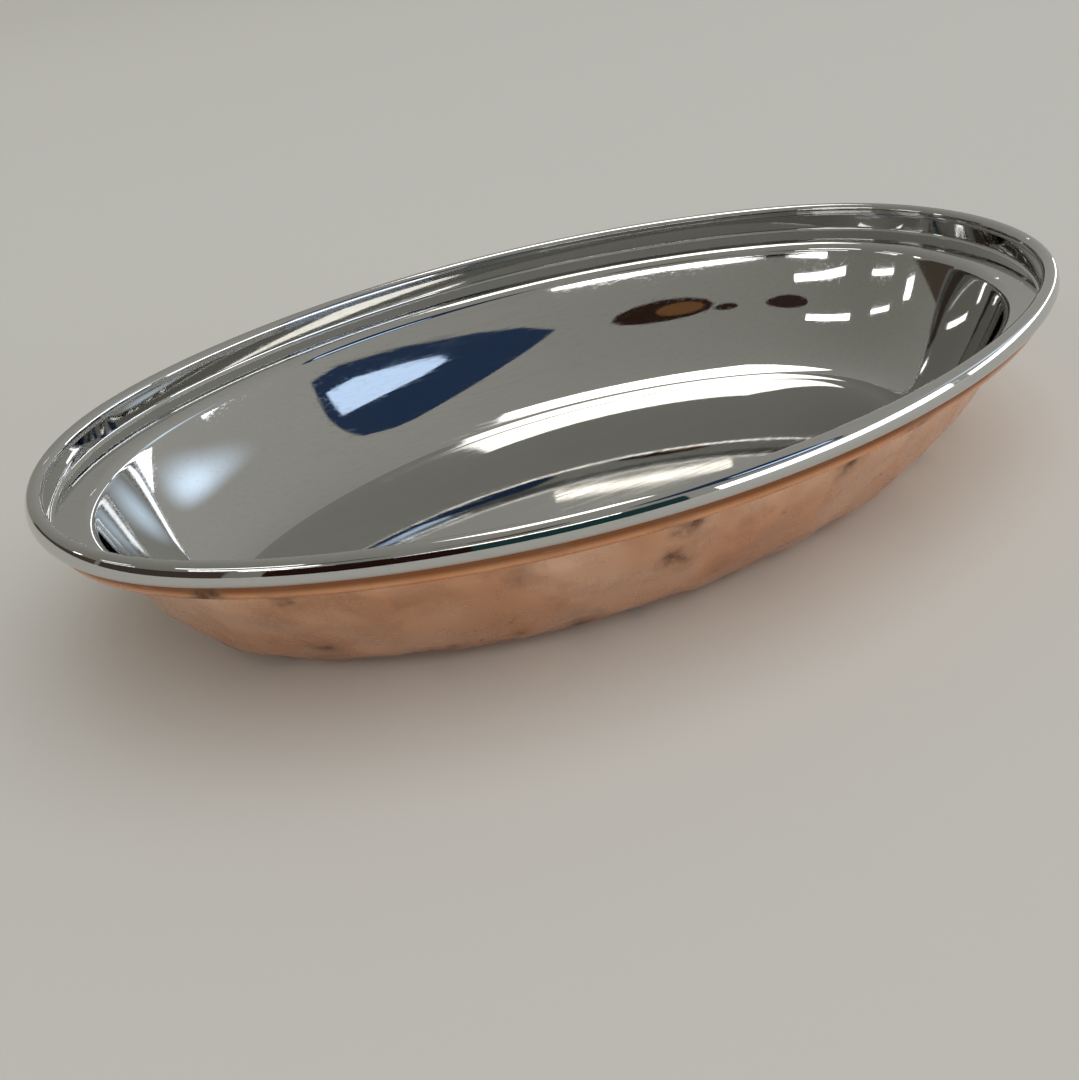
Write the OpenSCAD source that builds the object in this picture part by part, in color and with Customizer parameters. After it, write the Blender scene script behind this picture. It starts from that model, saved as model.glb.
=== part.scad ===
// Oval double-walled serving dish.
// A mirror-polished steel liner nests in a hammered copper shell, and the liner's edge is rolled
// outwards and down over the shell's edge, which holds the two together.
// X runs along the dish, Y across it and Z up. The origin is the middle of the standing face.
//
// Every section is drawn as an inset from the outermost line of the rim, and swept round the same
// four-centre oval, so the rim, the band, the shoulder and the wall stay parallel all the way round.

/* [Outline] */
// Length over the rolled rim
overall_length = 300; // [280:5:330]
// Width over the rolled rim
overall_width = 200; // [190:5:205]
// Radius of the outline at each end
end_radius = 79; // [77:1:82]

/* [Section] */
// Height from the standing face to the top of the rim
overall_height = 52; // [46:1:58]
// Diameter of the rolled rim
bead_diameter = 5.8; // [5.4:0.2:7]
// Depth of the shoulder's outer edge below the top of the rim
band_depth = 9.6; // [9:0.1:11]
// Depth of the shoulder's inner edge below the top of the rim
shoulder_depth = 12.2; // [11:0.1:14]
// Inset of the shoulder's inner edge
shoulder_inset = 12.6; // [11:0.1:15]
// Inset of the edge of the flat floor
floor_inset = 42; // [36:1:44]
// How far the wall's curve turns between the floor and the shoulder, in degrees of its ellipse
wall_turn = 42; // [34:1:55]

/* [Sheet metal] */
// Thickness of the steel liner
liner_sheet = 0.7; // [0.5:0.1:0.8]
// Thickness of the copper shell
shell_sheet = 0.6; // [0.5:0.1:0.8]
// Radius of the bend between the upright band and the shoulder
band_bend = 2.2; // [1.6:0.1:2.6]
// Radius of the bend between the shoulder and the wall
shoulder_bend = 3; // [2:0.1:4]
// How far the shell's edge stands up inside the rolled rim
edge_engagement = 1.6; // [1:0.1:2]
// Where the rolled rim turns down into the band, in degrees round the rim from its outermost line
roll_end = 236; // [230:1:240]
// Radius of the bend between the rolled rim and the band
neck_bend = 1.6; // [1.2:0.1:1.8]

/* [Hidden] */
$fn = 120;

steel = [0.78, 0.77, 0.74];
copper = [0.76, 0.47, 0.34];

// The four-centre oval: two end arcs and two side arcs that meet along shared radii.
half_length = overall_length / 2;
half_width = overall_width / 2;
end_centre = half_length - end_radius;
side_radius = (pow(end_centre, 2) + pow(half_width, 2) - pow(end_radius, 2))
    / (2 * (half_width - end_radius));
side_centre = side_radius - half_width;
joint_angle = atan2(side_centre, end_centre);
// The sweeps stop this far from the end centres, and a strip of floor closes what they leave open.
hub_radius = 4;
strip_lap = 1;
strip_length = 2 * (end_centre + hub_radius + strip_lap);
strip_width = 2 * (side_radius - end_radius - side_centre + hub_radius + strip_lap);

// The rolled rim is a tube that is open underneath, where the shell's edge stands in it.
seam_offset = 0.2;
bead_radius = bead_diameter / 2;
bead_height = overall_height - bead_radius;
seam_inset = bead_radius + seam_offset;
roll_centre = [-bead_radius, bead_height];
roll_radius = bead_radius - liner_sheet;
// The liner's free edge stops against the shell's outside.
roll_start = asin((shell_sheet - seam_offset) / roll_radius) - 90;

// Arc steps in the drawn section
bend_steps = 7;
roll_steps = 24;
wall_steps = 14;

function unit(v) = v / norm(v);

// Unit vector to the left of the step from a to b
function left_of(a, b) = let (d = unit(b - a)) [-d.y, d.x];

// Angle brought into the range from -180 to 180
function wrapped(angle) = angle - 360 * round(angle / 360);

// The arc of radius r that replaces the corner b between a and c
function bend(a, b, c, r) =
    let (u = unit(a - b), w = unit(c - b), half = acos(u * w) / 2)
    let (centre = b + unit(u + w) * r / sin(half))
    let (first = b + u * r / tan(half) - centre, last = b + w * r / tan(half) - centre)
    let (from = atan2(first.y, first.x), turn = wrapped(atan2(last.y, last.x) - from))
    [for (i = [0:bend_steps])
        let (angle = from + turn * i / bend_steps)
        centre + r * [cos(angle), sin(angle)]];

// The point of line p with index i, moved t to the left of the line
function moved(p, i, t) =
    let (end = len(p) - 1)
    let (a = left_of(p[max(i - 1, 0)], p[max(i, 1)]))
    let (b = left_of(p[min(i, end - 1)], p[min(i + 1, end)]))
    p[i] + t * (a + b) / (1 + a * b);

// The outline of a sheet of thickness t on the left of line p, or on its right where t is negative
function sheet(p, t) = concat(p, [for (i = [len(p) - 1:-1:0]) moved(p, i, t)]);

// A point of the wall, from 0 at the floor to 1 at the shoulder
function wall_point(part) =
    let (rise = overall_height - shoulder_depth - shell_sheet, angle = wall_turn * part)
    [(floor_inset - shoulder_inset) * sin(angle) / sin(wall_turn) - floor_inset,
        shell_sheet + rise * (1 - cos(angle)) / (1 - cos(wall_turn))];

// The form line: where the liner's outside meets the shell's inside, from the band to the floor.
// Its X is minus the inset, so sweeping it at the outline's own radius puts it in place.
band_corner = [-seam_inset, overall_height - band_depth];
shoulder_corner = wall_point(1);
seam_top = [-seam_inset, bead_height - roll_radius + edge_engagement];
form_line = concat(
    bend(seam_top, band_corner, shoulder_corner, band_bend),
    bend(band_corner, shoulder_corner, wall_point(0.9), shoulder_bend),
    [for (i = [wall_steps - 2:-1:0]) wall_point(i / wall_steps)],
    [[hub_radius - end_radius, shell_sheet]]);

// The inside of the rolled rim, from the liner's free edge over the top to the band
function roll_point(angle) = roll_centre + roll_radius * [cos(angle), sin(angle)];
neck_start = roll_point(roll_end);
neck_run = (neck_start.x + seam_inset) / sin(roll_end);
neck_corner = [-seam_inset, neck_start.y + neck_run * cos(roll_end)];
roll_line = concat(
    [for (i = [0:roll_steps - 1]) roll_point(roll_start + (roll_end - roll_start) * i / roll_steps)],
    bend(neck_start, neck_corner, band_corner, neck_bend));

// Sweeps a section round the oval, and closes the middle of its floor.
module sweep_round(floor_bottom, floor_sheet) {
    for (turned = [0, 180]) rotate([0, 0, turned]) {
        translate([end_centre, 0, 0])
            rotate([0, 0, -joint_angle])
            rotate_extrude(angle = 2 * joint_angle)
            translate([end_radius, 0]) children();
        translate([0, -side_centre, 0])
            rotate([0, 0, joint_angle])
            rotate_extrude(angle = 180 - 2 * joint_angle)
            translate([side_radius, 0]) children();
    }
    translate([-strip_length / 2, -strip_width / 2, floor_bottom])
        cube([strip_length, strip_width, floor_sheet]);
}

module steel_liner() {
    color(steel) sweep_round(shell_sheet, liner_sheet)
        polygon(sheet(concat(roll_line, form_line), -liner_sheet));
}

module copper_shell() {
    color(copper) sweep_round(0, shell_sheet)
        polygon(sheet(concat([seam_top], form_line), shell_sheet));
}

steel_liner();
copper_shell();
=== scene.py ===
import bpy
import math
from mathutils import Matrix, Vector


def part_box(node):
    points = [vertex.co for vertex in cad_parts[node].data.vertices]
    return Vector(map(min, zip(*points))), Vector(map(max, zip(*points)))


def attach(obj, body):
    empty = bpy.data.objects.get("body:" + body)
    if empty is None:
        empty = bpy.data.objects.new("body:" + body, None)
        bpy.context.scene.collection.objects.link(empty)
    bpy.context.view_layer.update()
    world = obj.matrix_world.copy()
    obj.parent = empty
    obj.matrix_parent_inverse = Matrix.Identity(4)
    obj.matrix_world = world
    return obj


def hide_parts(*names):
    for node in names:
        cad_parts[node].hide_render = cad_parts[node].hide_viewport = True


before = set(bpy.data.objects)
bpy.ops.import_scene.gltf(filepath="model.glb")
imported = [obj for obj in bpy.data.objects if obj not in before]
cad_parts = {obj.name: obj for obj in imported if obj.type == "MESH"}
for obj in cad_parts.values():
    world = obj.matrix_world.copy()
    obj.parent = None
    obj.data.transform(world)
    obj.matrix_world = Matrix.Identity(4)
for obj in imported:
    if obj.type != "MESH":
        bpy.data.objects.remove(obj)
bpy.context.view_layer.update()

mm = 0.001
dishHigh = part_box("steel_liner")[1]
halfLength = dishHigh.x
halfWidth = dishHigh.y
rimTop = dishHigh.z
print("frame loaded, the dish is", round(halfLength * 2, 4), "by", round(halfWidth * 2, 4), "m")

# the oval that both sheets follow, as arcs that open out from the ends to the sides
oval = {
    "openFrom": 40,             # degrees round from the end where the arcs start to open out
    "openTo": 75,               # degrees where they reach the flatter side
    "arcsPerQuarter": 10,
    "mergeReach": 0.02 * mm,    # points closer than this become one after the turn round the oval
    "creaseAngle": 40,          # degrees past which an edge is shaded sharp
}

# the section of both sheets: insets are from the rim's outermost line, depths from its top
section = {
    "rollRadius": 2.9 * mm,
    "linerSheet": 0.7 * mm,
    "shellSheet": 0.6 * mm,
    "seamInset": 3.1 * mm,      # face where liner and shell meet in the band
    "bandDepth": 9.6 * mm,
    "bandBend": 2.2 * mm,
    "shoulderInset": 12.6 * mm,
    "shoulderDepth": 12.2 * mm,
    "shoulderBend": 3.0 * mm,
    "floorInset": 42 * mm,
    "wallTurn": 42,             # degrees of ellipse between floor and shoulder
    "gridInset": 60 * mm,       # where the turned floor gives way to a plain grid
    "firstFloorStep": 0.1,      # part of a full step, short to keep the floor flat up to its edge
}
bandHeight = rimTop - section["bandDepth"]


def deselectAll():
    if bpy.context.object and bpy.context.object.mode != "OBJECT":
        bpy.ops.object.mode_set(mode="OBJECT")
    bpy.ops.object.select_all(action="DESELECT")


def smoothStep(value):
    value = min(1, max(0, value))
    return value * value * (3 - 2 * value)


# sections are lists of (x, z) points in the plane y = 0, with x from the rim's right-hand end

def arcPoints(centre, radius, start, stop, steps):
    angles = [start + (stop - start) * i / steps for i in range(steps + 1)]
    return [centre + radius * Vector((math.cos(angle), math.sin(angle))) for angle in angles]


def bendPoints(before, corner, after, radius, steps):
    # the arc that rounds a corner
    u = (before - corner).normalized()
    w = (after - corner).normalized()
    half = math.acos(max(-1, min(1, u.dot(w)))) / 2
    centre = corner + (u + w).normalized() * radius / math.sin(half)
    first = corner + u * radius / math.tan(half) - centre
    last = corner + w * radius / math.tan(half) - centre
    start = math.atan2(first.y, first.x)
    turn = math.remainder(math.atan2(last.y, last.x) - start, 2 * math.pi)
    return arcPoints(centre, radius, start, start + turn, steps)


def leftOf(a, b):
    # the direction square to the step from a to b
    step = (b - a).normalized()
    return Vector((-step.y, step.x))


def movedLine(line, distance):
    # the same line moved sideways, to the left of its run
    last = len(line) - 1
    moved = []
    for i, point in enumerate(line):
        before = leftOf(line[max(i - 1, 0)], line[max(i, 1)])
        after = leftOf(line[min(i, last - 1)], line[min(i + 1, last)])
        moved.append(point + distance * (before + after) / (1 + before.dot(after)))
    return moved


def wallPoint(part):
    # from 0 at the floor to 1 at the shoulder
    turn = math.radians(section["wallTurn"])
    rise = rimTop - section["shoulderDepth"] - section["shellSheet"]
    run = section["floorInset"] - section["shoulderInset"]
    return Vector((run * math.sin(turn * part) / math.sin(turn) - section["floorInset"],
                   section["shellSheet"] + rise * (1 - math.cos(turn * part)) / (1 - math.cos(turn))))


def formLine(wallSteps, bendSteps, floorStep):
    # the face where the two sheets meet, from the band down to the floor
    bandTop = Vector((-section["seamInset"], rimTop - section["rollRadius"]))
    band = Vector((-section["seamInset"], bandHeight))
    shoulder = wallPoint(1)
    wallTop = wallPoint(1 - 1 / wallSteps)
    line = bendPoints(bandTop, band, shoulder, section["bandBend"], bendSteps)
    line += bendPoints(band, shoulder, wallTop, section["shoulderBend"], bendSteps)
    line += [wallPoint(i / wallSteps) for i in range(wallSteps - 1, -1, -1)]
    reach = section["gridInset"] - section["floorInset"]
    floorSteps = round(reach / floorStep)
    line += [Vector((-section["floorInset"] - reach * i / floorSteps, section["shellSheet"]))
             for i in (section["firstFloorStep"], *range(1, floorSteps + 1))]
    return line


def quarterRadii():
    # the arcs' reach along the dish and across it both have to come out right
    count = oval["arcsPerQuarter"]
    turn = math.pi / 2 / count
    shares = []
    reach = [[0, 0], [0, 0]]
    for i in range(count):
        middle = math.degrees(turn * (i + 0.5))
        share = smoothStep((middle - oval["openFrom"]) / (oval["openTo"] - oval["openFrom"]))
        for kind, part in enumerate((1 - share, share)):
            reach[0][kind] += part * (math.cos(turn * i) - math.cos(turn * (i + 1)))
            reach[1][kind] += part * (math.sin(turn * (i + 1)) - math.sin(turn * i))
        shares.append(share)
    endRadius, sideRadius = Matrix(reach).inverted() @ Vector((halfLength, halfWidth))
    return [endRadius * (1 - share) + sideRadius * share for share in shares]


def drawSection(name, line):
    # a plane merged to one point, then pulled along the section at the right-hand end
    deselectAll()
    bpy.ops.mesh.primitive_plane_add(size=mm, location=(halfLength + line[0].x, 0, line[0].y))
    piece = bpy.context.object
    piece.name = name
    piece.data.name = name
    bpy.ops.object.transform_apply(location=True, rotation=True, scale=True)
    bpy.ops.object.mode_set(mode="EDIT")
    bpy.ops.mesh.select_mode(type="VERT")
    bpy.ops.mesh.select_all(action="SELECT")
    bpy.ops.mesh.merge(type="CENTER")
    for last, point in zip(line, line[1:]):
        step = (point.x - last.x, 0, point.y - last.y)
        bpy.ops.mesh.extrude_region_move(TRANSFORM_OT_translate={"value": step})
    return piece


def spinRound(spacing):
    # one turn of the section round the oval, each arc about its own centre
    bpy.ops.mesh.select_all(action="SELECT")
    radii = quarterRadii()
    turn = math.pi / 2 / len(radii)
    rim = Vector((halfLength, 0, 0))
    facing = Vector((1, 0, 0))
    for run in (radii, radii[::-1], radii, radii[::-1]):
        for radius in run:
            centre = rim - facing * radius
            steps = round(radius * turn / spacing)
            # spin turns the other way for a positive angle
            bpy.ops.mesh.spin(steps=steps, angle=-turn, center=centre, axis=(0, 0, 1))
            facing = Matrix.Rotation(turn, 3, "Z") @ facing
            rim = centre + facing * radius
    bpy.ops.mesh.select_all(action="SELECT")
    bpy.ops.mesh.remove_doubles(threshold=oval["mergeReach"])


def closeFloor(piece, floorLevel):
    # the open ring in the middle of the floor is filled with a grid
    bpy.ops.mesh.select_mode(type="EDGE")
    bpy.ops.mesh.select_all(action="DESELECT")
    bpy.ops.mesh.select_non_manifold(extend=False, use_wire=False, use_boundary=True,
                                     use_multi_face=False, use_non_contiguous=False, use_verts=False)
    bpy.ops.object.mode_set(mode="OBJECT")
    verts = piece.data.vertices
    for edge in piece.data.edges:
        edge.select = edge.select and verts[edge.vertices[0]].co.z < floorLevel + mm
    bpy.ops.object.mode_set(mode="EDIT")
    bpy.ops.mesh.fill_grid(span=0)


def faceOut(piece, upwards):
    # the floor shows which way the sheet faces
    bpy.ops.mesh.select_all(action="SELECT")
    bpy.ops.mesh.normals_make_consistent(inside=False)
    bpy.ops.object.mode_set(mode="OBJECT")
    middle = min(piece.data.polygons, key=lambda face: face.center.xy.length)
    if (middle.normal.z > 0) != upwards:
        bpy.ops.object.mode_set(mode="EDIT")
        bpy.ops.mesh.select_all(action="SELECT")
        bpy.ops.mesh.flip_normals()
        bpy.ops.object.mode_set(mode="OBJECT")


def addModifier(piece, kind, **settings):
    modifier = piece.modifiers.new(kind.lower(), kind)
    for name, value in settings.items():
        setattr(modifier, name, value)
    bpy.ops.object.modifier_apply(modifier=modifier.name)


def thicken(piece, sheet):
    # the sheet's thickness goes behind the face that shows
    addModifier(piece, "SOLIDIFY", thickness=sheet, offset=-1)
    bpy.ops.object.shade_smooth_by_angle(angle=math.radians(oval["creaseAngle"]))


camera = {
    "place": Vector((-110.7, -265.2, 157.2)) * mm,
    "pan": -19.19,              # degrees
    "tilt": 30.79,
    "roll": -9.45,
    "lens": 35,
    "sensor": 36,
    "nearest": 10 * mm,
}


def addCamera():
    deselectAll()
    turned = Matrix.Rotation(math.radians(camera["pan"]), 3, "Z")
    turned = turned @ Matrix.Rotation(math.radians(90 - camera["tilt"]), 3, "X")
    turned = turned @ Matrix.Rotation(math.radians(camera["roll"]), 3, "Z")
    bpy.ops.object.camera_add(location=camera["place"], rotation=turned.to_euler())
    shot = bpy.context.object
    shot.name = "camera"
    shot.data.lens = camera["lens"]
    shot.data.sensor_width = camera["sensor"]
    shot.data.clip_start = camera["nearest"]
    bpy.context.scene.camera = shot


addCamera()
print("camera placed")

liner = {
    "wallSteps": 32,
    "bendSteps": 9,
    "floorStep": 4 * mm,
    "rollEdge": -104,           # degrees round the roll to its free edge
    # the outside of the rolled rim as arcs, each until so many degrees round
    "rollArcs": (
        {"radius": 2 * mm, "until": 8, "steps": 14},
        {"radius": 7 * mm, "until": 30, "steps": 8},
        {"radius": 2 * mm, "until": 228, "steps": 26},
    ),
    "neckBend": 0.95 * mm,
    "neckSteps": 7,
    "spacing": 2.4 * mm,        # round the oval
}


def rollLine():
    # the hollow of the rolled rim, from its free edge over the top to the neck above the band
    arcs = liner["rollArcs"]
    centres = [Vector((0, 0))]
    for arc, nextArc in zip(arcs, arcs[1:]):
        facing = Vector((math.cos(math.radians(arc["until"])), math.sin(math.radians(arc["until"]))))
        centres.append(centres[-1] + facing * (arc["radius"] - nextArc["radius"]))
    # set so that the outermost line and the top of the roll come where the rim's are
    shift = Vector((-arcs[0]["radius"], rimTop - arcs[-1]["radius"] - centres[-1].y))
    line = []
    start = math.radians(liner["rollEdge"])
    for centre, arc in zip(centres, arcs):
        stop = math.radians(arc["until"])
        inside = arc["radius"] - section["linerSheet"]
        line = line[:-1] + arcPoints(centre + shift, inside, start, stop, arc["steps"])
        start = stop
    neckCorner = Vector((-section["seamInset"],
                         line[-1].y + (line[-1].x + section["seamInset"]) / math.tan(start)))
    band = Vector((-section["seamInset"], bandHeight))
    return line[:-1] + bendPoints(line[-1], neckCorner, band, liner["neckBend"], liner["neckSteps"])


def addLiner():
    back = rollLine() + formLine(liner["wallSteps"], liner["bendSteps"], liner["floorStep"])
    piece = drawSection("steelLiner", movedLine(back, -section["linerSheet"]))
    spinRound(liner["spacing"])
    closeFloor(piece, section["shellSheet"] + section["linerSheet"])
    faceOut(piece, upwards=True)
    thicken(piece, section["linerSheet"])
    return piece


linerPiece = addLiner()
print("liner made,", len(linerPiece.data.polygons), "faces")

shell = {
    "wallSteps": 30,
    "bendSteps": 6,
    "uprightSteps": 3,
    "floorStep": 2 * mm,
    "spacing": 1.7 * mm,
    "sheet": 0.5 * mm,          # a little under the real sheet, so that it stays clear of the liner
    "edgeRise": 6.1 * mm,       # the edge stands up this far above the band's corner, inside the roll
    "markSize": 15 * mm,
    "markDepth": 1.4 * mm,
    "markStrength": 1.2,
    "markFrom": 0.5 * mm,       # height above the standing face where the dents begin
    "markOver": 1 * mm,         # height above the shoulder where they end
    "markFade": 3 * mm,         # height over which they come and go
}


def markHammering(piece):
    # dents everywhere but the band, which the rim's roll grips, and the standing face
    group = piece.vertex_groups.new(name="hammered")
    stop = rimTop - section["shoulderDepth"] + shell["markOver"]
    for vert in piece.data.vertices:
        below = smoothStep((stop - vert.co.z) / shell["markFade"])
        above = smoothStep((vert.co.z - shell["markFrom"]) / shell["markFade"])
        group.add([vert.index], above * below, "REPLACE")
    marks = bpy.data.textures.new("hammerMarks", "VORONOI")
    marks.distance_metric = "DISTANCE_SQUARED"
    marks.noise_scale = shell["markSize"]
    marks.noise_intensity = shell["markStrength"]
    addModifier(piece, "DISPLACE", texture=marks, texture_coords="LOCAL", vertex_group="hammered",
                mid_level=0, strength=shell["markDepth"])
    piece.vertex_groups.clear()


def addShell():
    form = formLine(shell["wallSteps"], shell["bendSteps"], shell["floorStep"])
    top = Vector((form[0].x, bandHeight + shell["edgeRise"]))
    steps = shell["uprightSteps"]
    upright = [top.lerp(form[0], i / steps) for i in range(steps)]
    piece = drawSection("copperShell", movedLine(upright + form, section["shellSheet"]))
    spinRound(shell["spacing"])
    closeFloor(piece, 0)
    faceOut(piece, upwards=False)
    markHammering(piece)
    thicken(piece, shell["sheet"])
    return piece


shellPiece = addShell()
print("shell made,", len(shellPiece.data.polygons), "faces")


def newMaterial(name):
    material = bpy.data.materials.new(name)
    material.use_nodes = True
    return material, material.node_tree.nodes["Principled BSDF"]


def addNode(tree, kind, settings=None, inputs=None):
    node = tree.nodes.new("ShaderNode" + kind)
    for name, value in (settings or {}).items():
        setattr(node, name, value)
    for name, value in (inputs or {}).items():
        if hasattr(value, "is_output"):
            tree.links.new(value, node.inputs[name])
        else:
            node.inputs[name].default_value = value
    return node


def addNoise(tree, place, pattern):
    return addNode(tree, "TexNoise", None, {"Vector": place, **pattern})


def addMath(tree, operation, *values, clamp=False):
    settings = {"operation": operation, "use_clamp": clamp}
    return addNode(tree, "Math", settings, dict(enumerate(values))).outputs[0]


def addRange(tree, value, span, result=(0, 1), kind="LINEAR"):
    # the first result at the span's start and the second at its end
    return addNode(tree, "MapRange", {"interpolation_type": kind},
                   {"Value": value, "From Min": span[0], "From Max": span[1],
                    "To Min": result[0], "To Max": result[1]}).outputs[0]


def mixColours(tree, share, under, over, kind="MIX"):
    settings = {"data_type": "RGBA", "blend_type": kind}
    return addNode(tree, "Mix", settings, {0: share, 6: under, 7: over}).outputs[2]


def layColour(tree, share, under, layer):
    # a layer over the colour under it, at most as strong as the layer says
    part = addMath(tree, "MULTIPLY", share, layer["most"], clamp=True)
    return mixColours(tree, part, under, layer["colour"])


def addLayer(tree, pattern, under, layer):
    # a layer that comes in over its own span of a pattern
    share = addRange(tree, pattern, layer["span"], kind="SMOOTHSTEP")
    return layColour(tree, share, under, layer)


steel = {
    "bright": (0.65, 0.65, 0.64, 1),
    "dull": (0.57, 0.57, 0.56, 1),      # where fingers and cloths have been
    "clouds": {"Scale": 14, "Detail": 3},
    "cloudSpan": (0.35, 0.7),
    "cloudRoughness": (0.01, 0.03),
    "lines": {"Scale": 22, "Detail": 8, "Roughness": 0.7},
    "lineStretch": 45,                  # times closer across the dish than along it
    "lineColour": (0.2, 0.2, 0.2, 1),
    "lineSpan": (0.48, 0.72),
    "lineRoughness": (0, 0.09),
    "lineRelief": 0.003,
    "lineHeight": 1 * mm,
}


def polishedSteel():
    material, shader = newMaterial("polishedSteel")
    tree = material.node_tree
    place = addNode(tree, "TexCoord").outputs["Object"]
    # polishing lines run along the dish
    stretch = (1, steel["lineStretch"], steel["lineStretch"])
    alongDish = addNode(tree, "Mapping", None, {"Vector": place, "Scale": stretch}).outputs[0]
    lines = addNoise(tree, alongDish, steel["lines"]).outputs["Fac"]
    clouds = addNoise(tree, place, steel["clouds"]).outputs["Fac"]
    lineShare = addRange(tree, lines, steel["lineSpan"], steel["lineRoughness"])
    cloudShare = addRange(tree, clouds, steel["cloudSpan"], steel["cloudRoughness"])
    tree.links.new(addMath(tree, "ADD", lineShare, cloudShare), shader.inputs["Roughness"])
    colour = mixColours(tree, clouds, steel["bright"], steel["dull"])
    colour = mixColours(tree, lineShare, colour, steel["lineColour"], "MULTIPLY")
    tree.links.new(colour, shader.inputs["Base Color"])
    scored = addNode(tree, "Bump", None, {"Height": lines, "Strength": steel["lineRelief"],
                                          "Distance": steel["lineHeight"]})
    tree.links.new(scored.outputs[0], shader.inputs["Normal"])
    shader.inputs["Metallic"].default_value = 1
    return material


copper = {
    "pink": (0.9, 0.59, 0.42, 1),
    "wide": {"Scale": 45, "Detail": 2, "Distortion": 0.3},
    "fine": {"Scale": 120, "Detail": 6, "Roughness": 0.65},
    "grain": {"Scale": 1500, "Detail": 2},
    "scratches": {"Scale": 6, "Detail": 3},
    "scratchTurn": (0.3, 0.2, 0.5),
    "scratchStretch": (12, 12, 240),
    # layers: the colour, the span over which it comes in and how strong it gets at most
    "brown": {"colour": (0.78, 0.44, 0.27, 1), "span": (0.32, 0.68), "most": 1},
    "dull": {"colour": (0.5, 0.28, 0.19, 1), "span": (0.48, 0.72), "most": 0.3},
    "scratch": {"colour": (0.95, 0.7, 0.58, 1), "span": (0.64, 0.74), "most": 0.35},
    # layers by height: a painted highlight of bright orange over the band, and painted shade just under the
    # rim's roll
    "paintedBandHighlight": {"colour": (0.9, 0.4, 0.17, 1), "most": 0.65,
              "span": (bandHeight - 6 * mm, bandHeight + 1 * mm)},
    # painted shade where the rim's roll overhangs the copper, darkest up under the roll
    "paintedRollShade": {"colour": (0.2, 0.07, 0.03, 1), "most": 0.85,
             "span": (bandHeight + 0.4 * mm, bandHeight + 2.4 * mm)},
    # spots: cells to the metre, the share of cells with one, and its radius in a cell
    "halo": {"colour": (0.34, 0.19, 0.12, 1), "scale": 60, "chance": 0.8, "radius": 0.5, "most": 0.7},
    "spot": {"colour": (0.11, 0.06, 0.04, 1), "scale": 60, "chance": 0.8, "radius": 0.26, "most": 0.95},
    "pit": {"colour": (0.15, 0.07, 0.045, 1), "scale": 110, "chance": 0.2, "radius": 0.2, "most": 0.7},
    "spotWarp": 0.012,
    "roughSpan": (0.3, 0.7),
    "roughness": (0.2, 0.32),
    "haloRoughness": 0.2,
    "grainShare": 0.12,
    "wideRelief": 0.5,                  # soft wide dents that carry on between the deeper ones
    "wideHeight": 4 * mm,
    "fineRelief": 0.2,
    "fineHeight": 0.4 * mm,
}


def spotMask(tree, place, spots):
    # round spots in some of the cells of a scattered pattern
    cells = addNode(tree, "TexVoronoi", None, {"Vector": place, "Scale": spots["scale"]})
    spot = addRange(tree, cells.outputs["Distance"], (spots["radius"], 0), kind="SMOOTHSTEP")
    pick = addNode(tree, "SeparateColor", None, {"Color": cells.outputs["Color"]}).outputs[0]
    return addMath(tree, "MULTIPLY", spot, addMath(tree, "LESS_THAN", pick, spots["chance"]))


def hammeredCopper():
    material, shader = newMaterial("hammeredCopper")
    tree = material.node_tree
    place = addNode(tree, "TexCoord").outputs["Object"]
    height = addNode(tree, "SeparateXYZ", None, {"Vector": place}).outputs["Z"]
    wide = addNoise(tree, place, copper["wide"]).outputs["Fac"]
    fineNoise = addNoise(tree, place, copper["fine"])
    fine = fineNoise.outputs["Fac"]
    grain = addNoise(tree, place, copper["grain"]).outputs["Fac"]

    colour = addLayer(tree, wide, copper["pink"], copper["brown"])
    colour = addLayer(tree, fine, colour, copper["dull"])
    # painted highlight over the band, then painted shade under the rim's roll
    colour = addLayer(tree, height, colour, copper["paintedBandHighlight"])
    colour = addLayer(tree, height, colour, copper["paintedRollShade"])
    warp = {0: copper["spotWarp"], 4: place, 5: fineNoise.outputs["Color"]}
    warped = addNode(tree, "Mix", {"data_type": "VECTOR"}, warp).outputs[1]
    masks = {kind: spotMask(tree, warped, copper[kind]) for kind in ("halo", "spot", "pit")}
    for kind, mask in masks.items():
        colour = layColour(tree, mask, colour, copper[kind])
    slant = {"Vector": place, "Rotation": copper["scratchTurn"], "Scale": copper["scratchStretch"]}
    slanted = addNode(tree, "Mapping", None, slant).outputs[0]
    scratches = addNoise(tree, slanted, copper["scratches"]).outputs["Fac"]
    colour = addLayer(tree, scratches, colour, copper["scratch"])
    tree.links.new(colour, shader.inputs["Base Color"])

    rough = addRange(tree, fine, copper["roughSpan"], copper["roughness"])
    spotted = addMath(tree, "MULTIPLY_ADD", masks["halo"], copper["haloRoughness"], rough)
    tree.links.new(spotted, shader.inputs["Roughness"])
    grained = addMath(tree, "MULTIPLY_ADD", grain, copper["grainShare"], fine)
    dented = addNode(tree, "Bump", None, {"Height": wide, "Strength": copper["wideRelief"],
                                          "Distance": copper["wideHeight"]})
    relief = addNode(tree, "Bump", None, {"Height": grained, "Strength": copper["fineRelief"],
                                          "Distance": copper["fineHeight"], "Normal": dented.outputs[0]})
    tree.links.new(relief.outputs[0], shader.inputs["Normal"])
    shader.inputs["Metallic"].default_value = 1
    return material


def finishPiece(piece, node, material):
    piece.data.materials.clear()
    piece.data.materials.append(material)
    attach(piece, "root")
    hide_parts(node)


finishPiece(linerPiece, "steel_liner", polishedSteel())
finishPiece(shellPiece, "copper_shell", hammeredCopper())
print("materials set")

ground = {
    "radius": 60,
    "corners": 96,
    "colour": (0.68, 0.67, 0.64, 1),
    "roughness": 0.8,
}


def paleFloor():
    material, shader = newMaterial("paleFloor")
    shader.inputs["Base Color"].default_value = ground["colour"]
    shader.inputs["Roughness"].default_value = ground["roughness"]
    return material


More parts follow.
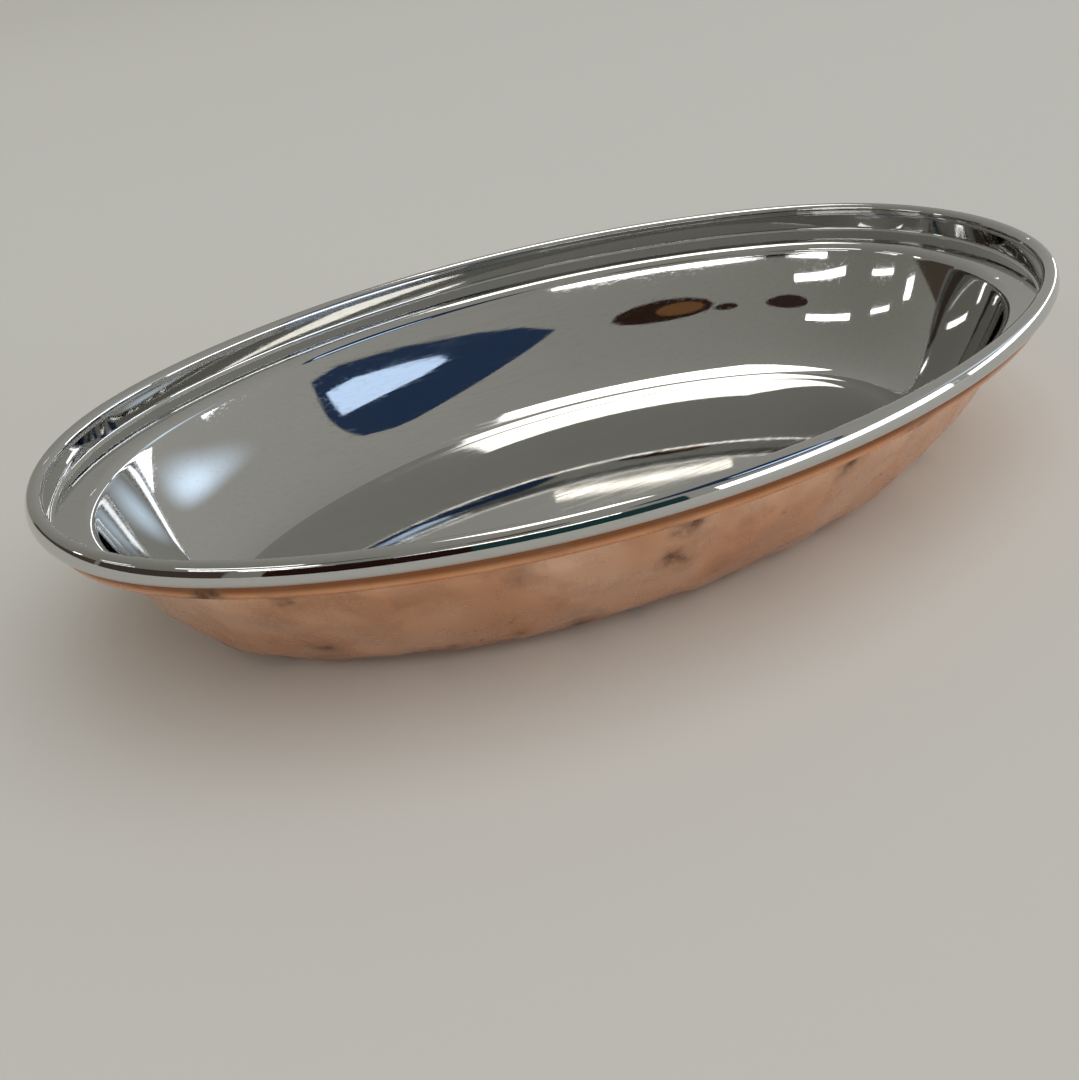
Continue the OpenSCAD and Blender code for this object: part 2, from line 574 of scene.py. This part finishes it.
def addFloor():
    deselectAll()
    bpy.ops.mesh.primitive_circle_add(vertices=ground["corners"], radius=ground["radius"],
                                      fill_type="NGON", location=(0, 0, 0))
    floor = bpy.context.object
    floor.name = "floor"
    floor.data.materials.append(paleFloor())


addFloor()

studio = {
    "reach": 6,                 # metres from the dish to its lamps and cards
    "ceiling": (0.32, 0.315, 0.285),
    "ceilingSlope": 0.1,        # the ceiling is this much lighter on the right and darker on the left
    # soft daylight in the ceiling: its middle and a direction along it, then how far it reaches
    "glowRun": ((99, 16), (120, 21.5)),
    "glowReach": (0.38, 0.12, 1),
    "glowColour": (0.75, 1.0, 1.3, 1),
    "tubeGlow": 3.5,
    "wattsPerGlow": 4,          # lamp power for a glow of 1 over a square metre
    "fillTilt": (18, 14),       # degrees
    "fillGlow": 1.1,
    "fillSpread": 70,           # degrees, for a soft shadow
}


def towards(azimuth, elevation):
    # azimuth 0 is along +Y and 90 is along +X
    a = math.radians(azimuth)
    e = math.radians(elevation)
    return studio["reach"] * Vector((math.sin(a) * math.cos(e), math.cos(a) * math.cos(e), math.sin(e)))


def addWorld():
    world = bpy.data.worlds.new("ceiling")
    bpy.context.scene.world = world
    world.use_nodes = True
    tree = world.node_tree
    place = addNode(tree, "TexCoord").outputs["Generated"]
    sideways = addNode(tree, "SeparateXYZ", None, {"Vector": place}).outputs["X"]
    slope = studio["ceilingSlope"]
    dark = [value - slope for value in studio["ceiling"]]
    light = [value + slope for value in studio["ceiling"]]
    shade = mixColours(tree, addRange(tree, sideways, (-1, 1)), (*dark, 1), (*light, 1))
    # soft daylight, longer one way than the other
    facing, along = [towards(*way).normalized() for way in studio["glowRun"]]
    across = facing.cross(along).normalized()
    along = across.cross(facing)
    offset = addNode(tree, "VectorMath", {"operation": "SUBTRACT"}, {0: place, 1: facing}).outputs[0]
    parts = {}
    for name, axis, reach in zip("XYZ", (along, across, facing), studio["glowReach"]):
        dotted = addNode(tree, "VectorMath", {"operation": "DOT_PRODUCT"}, {0: offset, 1: axis / reach})
        parts[name] = dotted.outputs["Value"]
    away = addNode(tree, "CombineXYZ", None, parts).outputs[0]
    length = addNode(tree, "VectorMath", {"operation": "LENGTH"}, {0: away}).outputs["Value"]
    glow = addRange(tree, length, (1, 0), kind="SMOOTHSTEP")
    shade = mixColours(tree, glow, shade, studio["glowColour"], "ADD")
    tree.links.new(shade, tree.nodes["Background"].inputs["Color"])


addWorld()


def addFill():
    # soft daylight for the floor, which the polished steel doesn't mirror
    deselectAll()
    tilt = [math.radians(angle) for angle in studio["fillTilt"]]
    bpy.ops.object.light_add(type="SUN", rotation=(*tilt, 0))
    lamp = bpy.context.object
    lamp.name = "fill"
    lamp.data.energy = studio["fillGlow"]
    lamp.data.angle = math.radians(studio["fillSpread"])
    lamp.visible_glossy = False


def addPanel(name, start, stop, breadth, glow, colour=(1, 1, 1)):
    # a lamp that runs from one direction to another as the dish sees them
    first = towards(*start)
    last = towards(*stop)
    middle = (first + last) / 2
    facing = middle.normalized()
    along = (last - first).normalized()
    across = facing.cross(along)
    turned = Matrix((along, across, facing)).transposed().to_euler()
    deselectAll()
    bpy.ops.object.light_add(type="AREA", location=middle, rotation=turned)
    lamp = bpy.context.object
    lamp.name = name
    lamp.data.shape = "RECTANGLE"
    lamp.data.size = (last - first).length
    lamp.data.size_y = breadth
    lamp.data.energy = studio["wattsPerGlow"] * glow * lamp.data.size * breadth
    lamp.data.color = colour
    lamp.visible_camera = False


def addCard(name, corners, colour, nearer=1):
    # a card that only shows in reflections
    deselectAll()
    bpy.ops.mesh.primitive_circle_add(vertices=len(corners), radius=1, fill_type="NGON")
    card = bpy.context.object
    card.name = name
    for vert, corner in zip(card.data.vertices, corners):
        vert.co = towards(*corner) * nearer
    material, shader = newMaterial(name)
    shader.inputs["Base Color"].default_value = (0, 0, 0, 1)
    shader.inputs["Specular IOR Level"].default_value = 0
    shader.inputs["Emission Color"].default_value = (*colour, 1)
    shader.inputs["Emission Strength"].default_value = 1
    card.data.materials.append(material)
    card.visible_camera = False
    card.visible_diffuse = False
    card.visible_shadow = False


def ovalCorners(azimuth, elevation, halfWide, halfHigh, count=12):
    angles = [math.tau * i / count for i in range(count)]
    return [(azimuth + halfWide * math.cos(angle), elevation + halfHigh * math.sin(angle))
            for angle in angles]


addFill()
# each lamp from one azimuth and elevation to another, then its breadth in metres
for name, start, stop, breadth in (
        ("tubeBackRight", (175.5, 18.8), (-165, 20), 0.14),
        ("tubeBackMiddle", (-165, 20.1), (-142, 20.1), 0.14),
        ("tubeBackLeft", (-142, 20), (-117.5, 19.8), 0.14),
        ("tubeLeftHigh", (-126, 39.8), (-94.3, 35), 0.32),
        ("tubeLeftLow", (-133.4, 25.6), (-105, 22), 0.19),
        ("tubeRightHigh", (-81, 29.3), (-70, 24.4), 0.16),
        ("tubeRightLow", (-88, 19.8), (-75, 17), 0.1),
        ("tubeEnd", (-62.6, 15), (-60.8, 19), 0.42)):
    addPanel(name, start, stop, breadth, studio["tubeGlow"])
# these have their own glow and colour
addPanel("tubeAhead", (20.5, 28.6), (32, 27.8), 0.03, 2.45, (1, 0.93, 0.82))
addPanel("windowLow", (60, 2.8), (110, 2.8), 0.75, 3, (0.95, 0.97, 1))
addPanel("windowBack", (114, 6), (160, 6), 1.2, 2.8, (0.88, 0.93, 1))

# cards: corners as azimuth and elevation, then the colour
addCard("tubeOver", ((146, 88), (95, 73), (36, 61), (3, 66)), (3.4, 3.3, 3.1))
addCard("navyCard", ((135, 17.5), (140, 17.3), (150, 19.5), (162, 23), (169, 25.5), (173.5, 28.8), (169, 32),
                     (161, 37), (148, 43.5), (138, 47), (134, 46.5), (131, 42), (132, 35), (133, 27)),
        (0.022, 0.042, 0.09))
addCard("navyWindow", ((136, 21), (141, 21), (150, 23.4), (154.5, 25), (155, 27), (150, 28.6), (144, 29),
                       (135, 29)), (0.85, 1.1, 1.5), nearer=0.95)
addCard("darkCard", ovalCorners(-168, 31.3, 9.5, 3.9), (0.03, 0.015, 0.01))
addCard("darkCardWarm", ovalCorners(-165, 31.3, 4.6, 2.2), (0.17, 0.08, 0.035), nearer=0.95)
addCard("darkCardTail", ovalCorners(-155.5, 33, 3.2, 1.3), (0.03, 0.015, 0.01))
addCard("darkCardSmall", ovalCorners(-135.5, 33, 9.5, 2.6), (0.035, 0.02, 0.017))
addCard("tealCard", ((165, 0), (-160, 0), (-160, 17), (165, 17)), (0.015, 0.045, 0.045))
addCard("brownCard", ((-160, 0), (-124, 0), (-124, 20), (-160, 20)), (0.02, 0.008, 0.005))
addCard("greyCard", ((-116, 0), (-76, 0), (-76, 14), (-116, 18)), (0.06, 0.045, 0.035))
addCard("greyCardEnd", ((-74, 0), (-36, 0), (-36, 12), (-74, 12)), (0.07, 0.055, 0.04))
bpy.context.scene.view_settings.view_transform = "Standard"
print("stage set")
